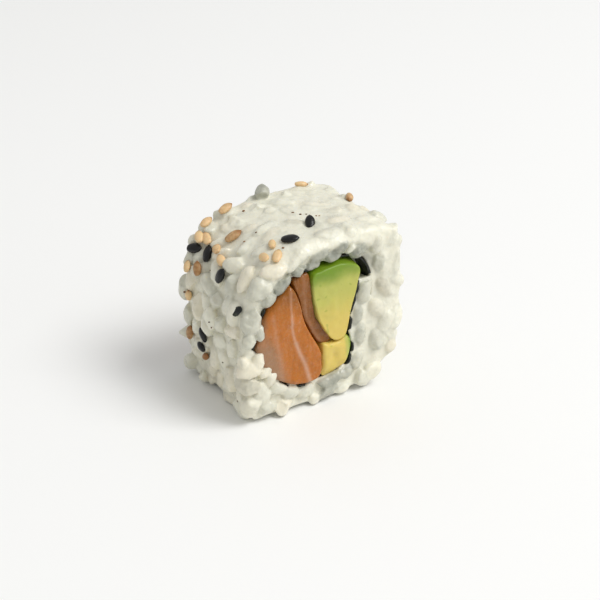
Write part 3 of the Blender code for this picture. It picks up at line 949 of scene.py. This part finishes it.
def largest_part(points, quads):
    """Only the largest joined part of a mesh. Every point takes the lowest number in its part by passing
    numbers along edges until none changes."""
    label = np.arange(len(points))
    a, b = quads[:, [0, 1, 2, 3]].ravel(), quads[:, [1, 2, 3, 0]].ravel()
    while True:
        lowest = label.copy()
        np.minimum.at(lowest, a, label[b])
        np.minimum.at(lowest, b, label[a])
        lowest = lowest[lowest]
        if (lowest == label).all():
            break
        label = lowest
    keep = label == np.bincount(label).argmax()
    renumber = np.cumsum(keep) - 1
    return points[keep], renumber[quads[keep[quads[:, 0]]]]


def blended_at(grid, low, step, points):
    """Values of a 3-D grid at points between its nodes, blended linearly."""
    place = (points - low) / step
    cell = np.clip(np.floor(place).astype(int), 0, np.array(grid.shape) - 2)
    t = place - cell
    total = np.zeros(len(points))
    for c in np.ndindex(2, 2, 2):
        weight = np.prod([t[:, k] if c[k] else 1 - t[:, k] for k in range(3)], axis=0)
        total += weight * grid[tuple((cell + c).T)]
    return total


def drawn_to_level(points, field, low, step):
    """Points moved onto the surface where field is 0, down its slope."""

    def worth(p):
        return blended_at(field, low, step, p)

    for _ in range(2):
        rise = [worth(points + shift) - worth(points - shift) for shift in np.eye(3) * step * 0.5]
        slope = np.stack(rise, axis=1) / step
        square = np.maximum((slope**2).sum(1), 0.05)
        move = slope * (worth(points) / square)[:, None]
        points = points - np.clip(move, -0.5 * step, 0.5 * step)
    return points


def build_rice(context):
    size, look = context.scene.roll_size, context.scene.roll_rice
    body = RiceBody(size)
    field, low, step, values = rice_field(body, look)
    points, quads = level_surface(field, low, step)
    points, quads = largest_part(points, quads)
    points = drawn_to_level(points, field, low, step)
    at_points = {key: blended_at(grid, low, step, points) for key, grid in values.items()}
    # Depth below the block as a share of painted shade in the dips
    at_points["painted_hollow_shade"] = np.clip(-at_points["painted_hollow_shade"] / PAINTED_SHADE_DEPTH, 0, 1)
    points[:, 2] = np.maximum(points[:, 2], 0.0)
    rice = mesh_object("rice_packed", points, quads, rice_finish(look), at_points)
    thin = rice.modifiers.new("thin out", "DECIMATE")
    thin.ratio = min(1.0, MOST_QUADS / len(quads))
    flatten_modifiers(rice)
    finished(rice, "rice", "rice")


# --------------------------------------------------------------------------------- seaweed and fillings


def build_seaweed(context):
    """A band: the route, half the thickness to each side, from one ragged cut edge to the other, which lies
    back where rice covers it. Its inner end leans over inside the roll."""
    size, look = context.scene.roll_size, context.scene.roll_seaweed
    along, deep = 420, 56
    route = smooth_curve(SEAWEED_ROUTE, along, closed=False)
    across = right_hand_normals(route)
    run = np.linspace(0, 1, along)[:, None]
    t = np.linspace(-1, 1, deep)[None, :]
    body = RiceBody(size)
    end = body.half - body.face_sink(*(route + across).T) - 0.5
    end -= 1.6 * body.buried.at(*route.T)
    covered = smooth_step(0.45, 0.85, body.creeps.at(*route.T))
    end -= 0.9 * covered * (1 - body.bare.at(*route.T))
    flat = np.stack([route[:, 0], np.zeros(along), route[:, 1]], axis=1)
    edge_front = end - 0.35 * soft_noise(flat, 1.1, 21) - 0.25 * soft_noise(flat, 3.1, 22)
    edge_back = end - 0.35 * soft_noise(flat + 50, 1.1, 23) - 0.25 * soft_noise(flat + 50, 3.1, 24)
    y = np.where(t < 0, edge_front[:, None] * t, edge_back[:, None] * t)
    x, z = (np.broadcast_to(route[:, k, None], y.shape) for k in (0, 1))
    base = np.stack([x, y, z], axis=-1)
    lean = 1.7 * smooth_step(0.93, 1.0, run) * smooth_step(1.0, 0.55, np.abs(t))
    side = np.stack([across[:, 0], np.zeros(along), across[:, 1]], axis=1)[:, None, :]
    wrinkle = 0.12 * soft_noise(base, 2.3, 25)
    base = base + side * (wrinkle + lean)[..., None]
    half = size.sheet / MM / 2
    shell = np.concatenate([base + side * half, (base - side * half)[:, ::-1]], axis=1)
    faces = ring_faces(along, 2 * deep)
    index = np.arange(along * 2 * deep).reshape(along, 2 * deep)
    caps = []
    for row, order in ((0, 1), (along - 1, -1)):
        outer, inner = index[row, :deep], index[row, deep:][::-1]
        cap = np.stack([outer[:-1], outer[1:], inner[1:], inner[:-1]], axis=1)
        caps.append(cap[:, ::order])
    faces = np.vstack([faces, *caps])
    sheet = mesh_object("seaweed_sheet", shell.reshape(-1, 3), faces, seaweed_finish(look))
    outward_faces(sheet)
    finished(sheet, "seaweed", "seaweed")


def strip(outline_points, length, proud, rounding, swell, relief, seed):
    """A filling that runs through the roll: rings of the outline, from a pole in the middle of the front cut
    face, out over the face, round its edge by a quarter circle, along the side and back the same way. Inside
    the roll the outline swells to fill its space. The cut faces carry a soft relief and stand proud of the
    rice's. Lengths are in millimetres."""
    around, face_rings, side_rings = 150, 34, 44
    outline = clockwise(smooth_curve(outline_points, around, closed=True))
    middle = outline.mean(0)
    size = np.linalg.norm(outline - middle, axis=1).mean()
    end = length / 2 + proud
    turn = np.linspace(0, 1, 6) * math.pi / 2
    inner = 1 - rounding / size
    face_share = np.linspace(0, inner, face_rings + 1)[1:-1]
    share = np.concatenate([face_share, inner + (1 - inner) * np.sin(turn)])
    inset = np.concatenate([np.zeros(len(face_share)), rounding * (1 - np.cos(turn))])
    straight = np.linspace(-end + rounding, end - rounding, side_rings + 2)[1:-1]
    y = np.concatenate([-end + inset, straight, (end - inset)[::-1]])
    share = np.concatenate([share, np.ones(side_rings), share[::-1]])
    widen = swell * smooth_step(end, end - 3.5, np.abs(y))
    ring = middle + (outline - middle)[None] * (share * (1 + widen / size))[:, None, None]
    rings = np.stack([ring[..., 0], np.broadcast_to(y[:, None], ring.shape[:2]), ring[..., 1]], axis=-1)
    face = smooth_step(end - rounding * 1.5, end - rounding * 0.3, np.abs(rings[..., 1]))
    hills = soft_noise(rings, 3.4, seed) + 0.45 * soft_noise(rings, 1.3, seed + 1)
    rings[..., 1] -= np.sign(rings[..., 1]) * face * (relief * (1 - hills) * 0.5)
    outward = rings - np.array([middle[0], 0, middle[1]])
    outward[..., 1] = 0
    outward /= np.maximum(np.linalg.norm(outward, axis=2, keepdims=True), 1e-6)
    wave = 0.14 * soft_noise(rings, 2.2, seed + 2) * share[:, None]
    rings = rings + outward * wave[..., None]
    poles = [(middle[0], rings[k, :, 1].mean(), middle[1]) for k in (0, -1)]
    return closed_stack(rings, *poles)


def near_lines(points, lines):
    """A line's strength on it, falling to 0 as exp(-(distance / half width)^2) beside it, and the most of any
    line."""
    flat = points[:, [0, 2]]
    best = np.zeros(len(points))
    for width, strength, line in lines:
        away = distance_to_line(flat, smooth_curve(line, 60, closed=False))
        best = np.maximum(best, strength * np.exp(-((away / width) ** 2)))
    return best


# Half width in millimetres, strength and (X, Z) points of each pale line on the salmon
FAT_LINES = [
    (0.22, 0.55, [(-8.1, 27.0), (-8.0, 24.0), (-7.8, 20.6)]),
    (0.30, 0.8, [(-7.9, 22.0), (-7.6, 18.2), (-6.6, 14.5)]),
    (0.42, 0.95, [(-6.9, 15.6), (-6.0, 13.0), (-4.9, 10.4), (-3.7, 6.2)]),
    (0.5, 0.25, [(-12.0, 22.6), (-11.4, 18.4), (-10.4, 12.6), (-9.8, 8.0)]),
    (0.35, 0.2, [(-4.6, 28.8), (-4.2, 24.0), (-3.6, 20.0), (-2.2, 16.6), (-0.8, 14.0)]),
]


def salmon_values(points, thick):
    """How pale, deep and dull the flesh is: the thick strip deepens towards its upper left and dulls at its
    left, and the thin one is deep all over."""
    x, z = points[:, 0], points[:, 2]
    pale = near_lines(points, FAT_LINES)
    if not thick:
        return {"pale": pale, "deep": np.full(len(x), 0.95), "dull": np.zeros(len(x))}
    lower_left = smooth_step(-8.5, -12.0, x + 0.3 * (z - 12)) * smooth_step(22, 15, z)
    edge = 0.7 * smooth_step(2.2, 0.4, x + 14.6)
    deep = 0.8 * smooth_step(20, 28, z + 0.5 * x + 4)
    return {"pale": pale, "deep": deep, "dull": np.maximum(lower_left, edge)}


def build_salmon(context):
    look = context.scene.roll_salmon
    length = context.scene.roll_size.length / MM - 2 * FACE_INSET
    finish = salmon_finish(look)
    points, faces = strip(SALMON_THICK, length, proud=0.1, rounding=0.7, swell=0.35, relief=0.5, seed=40)
    piece = mesh_object("salmon_strip_thick", points, faces, finish, salmon_values(points, thick=True))
    finished(piece, "salmon", "salmon_thick")
    points, faces = strip(SALMON_THIN, length, proud=-1.1, rounding=0.7, swell=0.4, relief=0.5, seed=41)
    piece = mesh_object("salmon_strip_thin", points, faces, finish, salmon_values(points, thick=False))
    finished(piece, "salmon", "salmon_thin")


def build_avocado(context):
    look = context.scene.roll_avocado
    length = context.scene.roll_size.length / MM - 2 * FACE_INSET
    finish = avocado_finish(look)
    points, faces = strip(AVOCADO_WEDGE, length, proud=-0.5, rounding=0.3, swell=0.45, relief=0.35, seed=60)
    high = points[:, 2] - 0.08 * points[:, 0]
    ripe = np.interp(high, [14.0, 19.0, 24.5, 27.0, 29.2], [0.95, 0.75, 0.45, 0.15, 0.0])
    piece = mesh_object("avocado_slice", points, faces, finish, {"ripe": ripe})
    finished(piece, "avocado", "avocado_wedge")
    points, faces = strip(AVOCADO_END, length, proud=-0.1, rounding=0.9, swell=0.3, relief=0.9, seed=66)
    ripe = 1 - 0.95 * smooth_step(4.2, 6.4, points[:, 0] + 0.08 * (points[:, 2] - 9))
    piece = mesh_object("avocado_tip", points, faces, finish, {"ripe": ripe})
    finished(piece, "avocado", "avocado_end")


# --------------------------------------------------------------------------------------------- seeds


def sesame(length, width, thickness):
    """One seed along X, pointed at +X: the half width is sin(u)^e times the seed's, with e larger towards the
    point, and the cross-section is an ellipse with a slight rim. Gives points, faces and how near the point
    each of them is."""
    around, rings = 12, 13
    u = np.linspace(0, math.pi, rings + 2)[1:-1, None]
    v = np.linspace(0, 2 * math.pi, around, endpoint=False)[None, :]
    toward_point = 0.5 + 0.5 * np.cos(u)
    swell = np.sin(u) ** (0.6 + 1.0 * toward_point)
    x = length / 2 * np.cos(u) + 0 * v
    y = -width / 2 * swell * np.cos(v)
    z = thickness / 2 * swell * np.sin(v) * (1 + 0.12 * np.abs(np.cos(v)))
    points, faces = closed_stack(np.stack([x, y, z], axis=-1), (length / 2, 0, 0), (-length / 2, 0, 0))
    near_point = np.concatenate([np.broadcast_to(toward_point, x.shape).ravel(), [1, 0]])
    return points, faces, near_point


# Seeds that lie on the top and over its left shoulder: (X, Y, heading in degrees, length factor, browning), and
# for one whose point is raised, by how many radians
PALE_ON_TOP = [
    (8.9, 10.9, -30, 0.9, 0.1), (14.1, 1.9, -122, 0.9, 0.5), (-8.0, 11.0, 10, 1.05, 0.35),
    (-11.8, 11.2, 20, 1.0, 0.3), (-12.8, 10.6, 60, 1.0, 0.1), (-12.2, 9.2, 70, 1.05, 0.25),
    (-9.8, 3.9, -10, 1.2, 0.6), (-12.8, 4.3, 65, 1.0, 0.4), (-13.0, 1.5, 72, 0.95, 0.15),
    (-7.6, -6.3, 60, 0.8, 0.2), (-10.2, -8.2, 95, 0.95, 0.15), (-8.4, -9.6, 45, 1.0, 0.2),
]
BLACK_ON_TOP = [(1.5, -4.4, 60, 1.0, 0, 0.5), (-4.7, -7.8, -44, 1.1, 0)]
# Seeds on the left side: (Y, Z, heading in degrees from the back up, length factor, browning)
PALE_ON_LEFT = [
    (10.0, 25.0, 40, 0.95, 0.2), (6.6, 26.1, 60, 1.0, 0.75), (9.9, 10.6, 100, 1.05, 0.7),
    (3.8, 8.0, 140, 0.8, 0.9), (9.6, 19.4, 90, 0.75, 0.1),
]
BLACK_ON_LEFT = [
    (10.4, 28.4, 150, 1.05, 0), (6.8, 28.5, 70, 1.05, 0), (-0.7, 27.3, 112, 1.05, 0),
    (2.9, 13.6, 75, 1.0, 0), (2.8, 11.1, 20, 0.8, 0),
]
# Brown specks on the rice, and a torn flake of seaweed with its half length, as (X, Y, Z) in millimetres
SPECKS = [
    (1.0, 1.1, 35.9), (2.1, 0.0, 35.9), (4.3, -2.3, 35.6), (4.8, -2.6, 35.6), (-8.0, -0.4, 34.1),
    (-13.8, 8.0, 30.4), (-16.2, 2.7, 26.9), (-17.9, -0.6, 18.0), (-17.9, -1.0, 17.0), (-17.9, -4.4, 10.9),
    (-17.3, -9.5, 5.1), (-10.6, 0.1, 33.0), (-7.1, -8.5, 34.2), (-17.8, 10.2, 19.6), (-5.6, 9.0, 34.9),
    (3.1, -0.6, 35.8), (13.8, 1.6, 35.0),
]
FLAKE = (-17.1, -8.6, 23.5, 1.0)


def crumb(seed):
    """A small uneven lump: a sphere whose radius changes by a third with soft noise."""
    around, rings = 9, 6
    u = np.linspace(0, math.pi, rings + 2)[1:-1, None]
    v = np.linspace(0, 2 * math.pi, around, endpoint=False)[None, :]
    ball = np.stack([np.cos(u) + 0 * v, -np.sin(u) * np.cos(v), np.sin(u) * np.sin(v)], axis=-1)
    points, faces = closed_stack(ball, (1, 0, 0), (-1, 0, 0))
    return points * (1 + 0.35 * soft_noise(points + seed * 5.3, 0.8, 91))[:, None], faces


def placed_crumbs(tree, rows, stretch):
    """One mesh of crumbs that lie on the rice at the given places, each of its own size."""
    points, faces = [], []
    for number, (x, y, z, size) in enumerate(rows):
        out = np.array([x, 0, z - MIDDLE_HEIGHT])
        out /= np.linalg.norm(out)
        found = surface_under(tree, np.array([x, y, z]) + out * 8, -out)
        if found is None:
            continue
        spot, up = found
        fore = np.cross(up, (0.3, 0.9, 0.4 + 0.2 * number))
        fore /= np.linalg.norm(fore)
        own, quads = crumb(number)
        base = sum(len(p) for p in points)
        points.append(own * stretch * size @ np.stack([fore, np.cross(up, fore), up]) + spot)
        faces += [tuple(i + base for i in f) for f in quads]
    return np.vstack(points), faces


def surface_under(tree, start, toward):
    """Where a line meets the rice, lifted most of the way to the highest of four hits 0.9 mm beside it, and
    which way the rice faces there on the whole."""
    hit, normal, _, _ = tree.ray_cast(Vector(start) * MM, Vector(toward))
    if hit is None:
        return None
    toward = Vector(toward)
    aside = toward.orthogonal().normalized()
    other = toward.cross(aside)
    total, around = Vector(normal), []
    for s, t in ((1, 0), (-1, 0), (0, 1), (0, -1)):
        beside, n, _, _ = tree.ray_cast((Vector(start) + (aside * s + other * t) * 0.9) * MM, toward)
        if n is not None:
            total += n
            around.append(beside)
    up = total.normalized()
    rise = sorted(max(0.0, (beside - hit).dot(up)) for beside in around)
    return np.array(hit + up * (0.6 * rise[-1] if rise else 0)) / MM, np.array(up)


def placed_seeds(tree, drops, length):
    """One mesh of seeds: each is dropped along a line onto the rice and lies along the way it faces there."""
    points, faces, browning = [], [], []
    for start, toward, ahead, grow, brown, tilt in drops:
        found = surface_under(tree, start, toward)
        if found is None:
            continue
        spot, up = found
        side = np.cross(up, ahead)
        side /= np.linalg.norm(side)
        fore = np.cross(side, up)
        fore = fore * math.cos(tilt) + up * math.sin(tilt)
        up = np.cross(fore, side)
        own, quads, near_point = sesame(length * grow, length * grow * 0.6, length * 0.36)
        base = sum(len(p) for p in points)
        points.append(own @ np.stack([fore, side, up]) + spot + up * length * 0.12)
        faces += [tuple(i + base for i in f) for f in quads]
        browning.append(np.clip(brown + near_point**9, 0, 1))
    return np.vstack(points), faces, np.concatenate(browning)


def drops_from(on_top, on_left, scattered, picker):
    """Start, direction, heading, size, browning and tilt of each seed: those listed, and a few
    scattered over the right side, which they don't reach."""
    drops = []
    for x, y, heading, grow, brown, *rise in on_top:
        h = math.radians(heading)
        lean = np.array([0.25 * x / 18, 0, -1.0])
        ahead = (math.cos(h), math.sin(h), 0.0)
        tilt = rise[0] if rise else 0.0
        drops.append(((x - 6 * lean[0], y, 44.0), lean, ahead, grow, brown, tilt))
    for y, z, heading, grow, brown in on_left:
        h = math.radians(heading)
        ahead = (0.0, math.cos(h), math.sin(h))
        drops.append(((-30.0, y, z), (1.0, 0.0, 0.0), ahead, grow, brown, 0.0))
    for _ in range(scattered):
        angle = picker.uniform(-0.35, 0.55)
        out = np.array([math.cos(angle), 0.0, math.sin(angle)])
        start = np.array([0.0, picker.uniform(-9, 10), MIDDLE_HEIGHT]) + out * 30
        ahead = picker.normal(size=3)
        grow, brown, tilt = picker.normal(1, 0.08), picker.random() ** 2, picker.normal(0, 0.15)
        drops.append((start, -out, ahead, grow, brown, tilt))
    return drops


def rice_tree():
    """The finished rice as a tree that lines can be cast at."""
    rice = bpy.data.objects.get("rice_packed")
    if rice is None:
        raise RuntimeError("build the rice first: the seeds lie on it")
    return BVHTree.FromObject(rice, bpy.context.evaluated_depsgraph_get())


def build_seeds(context):
    look = context.scene.roll_seeds
    picker = np.random.default_rng(77)
    tree = rice_tree()
    length = look.length / MM
    drops = drops_from(PALE_ON_TOP, PALE_ON_LEFT, 9, picker)
    points, faces, browning = placed_seeds(tree, drops, length)
    piece = mesh_object("sesame_toasted", points, faces, pale_seed_finish(look), {"browning": browning})
    finished(piece, "rice")
    drops = drops_from(BLACK_ON_TOP, BLACK_ON_LEFT, 5, picker)
    points, faces, _ = placed_seeds(tree, drops, length * 1.08)
    finished(mesh_object("sesame_black", points, faces, black_seed_finish(look)), "rice")
    sized = [(*place, 0.14 + 0.10 * picker.random()) for place in SPECKS]
    points, faces = placed_crumbs(tree, sized, (1.3, 1.0, 0.7))
    finished(mesh_object("specks", points, faces, speck_finish(look)), "rice")
    points, faces = placed_crumbs(tree, [FLAKE], (1.2, 0.7, 0.25))
    finish = seaweed_finish(context.scene.roll_seaweed)
    finished(mesh_object("seaweed_flake", points, faces, finish), "seaweed")


# --------------------------------------------------------------------------------------------- stage


def aimed(name, data, target, azimuth, elevation, distance):
    """A lamp or camera that faces the target from an azimuth, with 0 in front and 90 degrees at the right, and
    an elevation."""
    across = math.cos(elevation)
    out = Vector((math.sin(azimuth) * across, -math.cos(azimuth) * across, math.sin(elevation)))
    thing = bpy.data.objects.new(name, data)
    thing.location = Vector(target) + out * distance
    thing.rotation_euler = out.to_track_quat("Z", "Y").to_euler()
    bpy.context.scene.collection.objects.link(thing)
    return thing


def soft_lamp(name, target, azimuth, elevation, distance, power):
    """A square white lamp. Its angles are in degrees and its distance in metres."""
    light = bpy.data.lights.new(name, "AREA")
    light.energy, light.size, light.color = power, 0.8, (1, 1, 1)
    aimed(name, light, target, math.radians(azimuth), math.radians(elevation), distance)


def build_stage(context):
    look = context.scene.roll_stage
    finish = Finish("pale floor")
    finish.surface(Base_Color=look.floor, Roughness=0.7, Specular_IOR_Level=0.2)
    side = 1500.0
    corners = [(-side, -side, 0), (side, -side, 0), (side, side, 0), (-side, side, 0)]
    mesh_object("floor", corners, [(0, 1, 2, 3)], finish.material)
    world = bpy.data.worlds.new("soft studio")
    world.use_nodes = True
    background = world.node_tree.nodes["Background"]
    background.inputs["Color"].default_value = (1, 1, 1, 1)
    background.inputs["Strength"].default_value = 0.55
    context.scene.world = world
    target = (0.002, 0.0, 0.0167)
    soft_lamp("key", target, azimuth=42, elevation=52, distance=1.6, power=17.4)
    soft_lamp("front fill", target, azimuth=30, elevation=15, distance=1.2, power=0.8)
    camera = bpy.data.cameras.new("camera")
    camera.lens, camera.sensor_width = look.focal, 36
    camera.clip_start, camera.clip_end = 0.01, 20
    context.scene.camera = aimed("camera", camera, target, look.azimuth, look.elevation, look.distance)
    context.scene.view_settings.view_transform = "Standard"


# ---------------------------------------------------------------------------------------- the add-on


class SUSHI_ROLL_OT_rice(bpy.types.Operator):
    """Packs the rice grains round the fillings"""

    bl_idname = "sushi_roll.rice"
    bl_label = "Rice"

    def execute(self, context):
        build_rice(context)
        return {"FINISHED"}


class SUSHI_ROLL_OT_seaweed(bpy.types.Operator):
    """Rolls the seaweed sheet"""

    bl_idname = "sushi_roll.seaweed"
    bl_label = "Seaweed"

    def execute(self, context):
        build_seaweed(context)
        return {"FINISHED"}


class SUSHI_ROLL_OT_salmon(bpy.types.Operator):
    """Lays the salmon strips"""

    bl_idname = "sushi_roll.salmon"
    bl_label = "Salmon"

    def execute(self, context):
        build_salmon(context)
        return {"FINISHED"}


class SUSHI_ROLL_OT_avocado(bpy.types.Operator):
    """Lays the avocado pieces"""

    bl_idname = "sushi_roll.avocado"
    bl_label = "Avocado"

    def execute(self, context):
        build_avocado(context)
        return {"FINISHED"}


class SUSHI_ROLL_OT_seeds(bpy.types.Operator):
    """Scatters sesame seeds and crumbs over the rice"""

    bl_idname = "sushi_roll.seeds"
    bl_label = "Sesame"

    def execute(self, context):
        build_seeds(context)
        return {"FINISHED"}


class SUSHI_ROLL_OT_stage(bpy.types.Operator):
    """Sets the floor, the light and the camera"""

    bl_idname = "sushi_roll.stage"
    bl_label = "Stage"

    def execute(self, context):
        build_stage(context)
        return {"FINISHED"}


OPERATORS = [
    SUSHI_ROLL_OT_rice,
    SUSHI_ROLL_OT_seaweed,
    SUSHI_ROLL_OT_salmon,
    SUSHI_ROLL_OT_avocado,
    SUSHI_ROLL_OT_seeds,
    SUSHI_ROLL_OT_stage,
]


class SUSHI_ROLL_PT_panel(bpy.types.Panel):
    """Lists the pieces of the roll and their settings"""

    bl_label = "Sushi Roll"
    bl_space_type = "VIEW_3D"
    bl_region_type = "UI"
    bl_category = "Sushi Roll"

    def draw(self, context):
        for kind in OPERATORS:
            self.layout.operator(kind.bl_idname)
        for name, group in SETTINGS.items():
            box = self.layout.box()
            box.label(text=group.__doc__)
            for setting in group.__annotations__:
                box.prop(getattr(context.scene, name), setting)


def register():
    for name, group in SETTINGS.items():
        bpy.utils.register_class(group)
        setattr(bpy.types.Scene, name, bpy.props.PointerProperty(type=group))
    for kind in [*OPERATORS, SUSHI_ROLL_PT_panel]:
        bpy.utils.register_class(kind)


def unregister():
    for kind in reversed([*OPERATORS, SUSHI_ROLL_PT_panel]):
        bpy.utils.unregister_class(kind)
    for name, group in SETTINGS.items():
        delattr(bpy.types.Scene, name)
        bpy.utils.unregister_class(group)


def main():
    register()
    for kind in OPERATORS:
        group, name = kind.bl_idname.split(".")
        getattr(getattr(bpy.ops, group), name)()


if __name__ == "__main__":
    main()
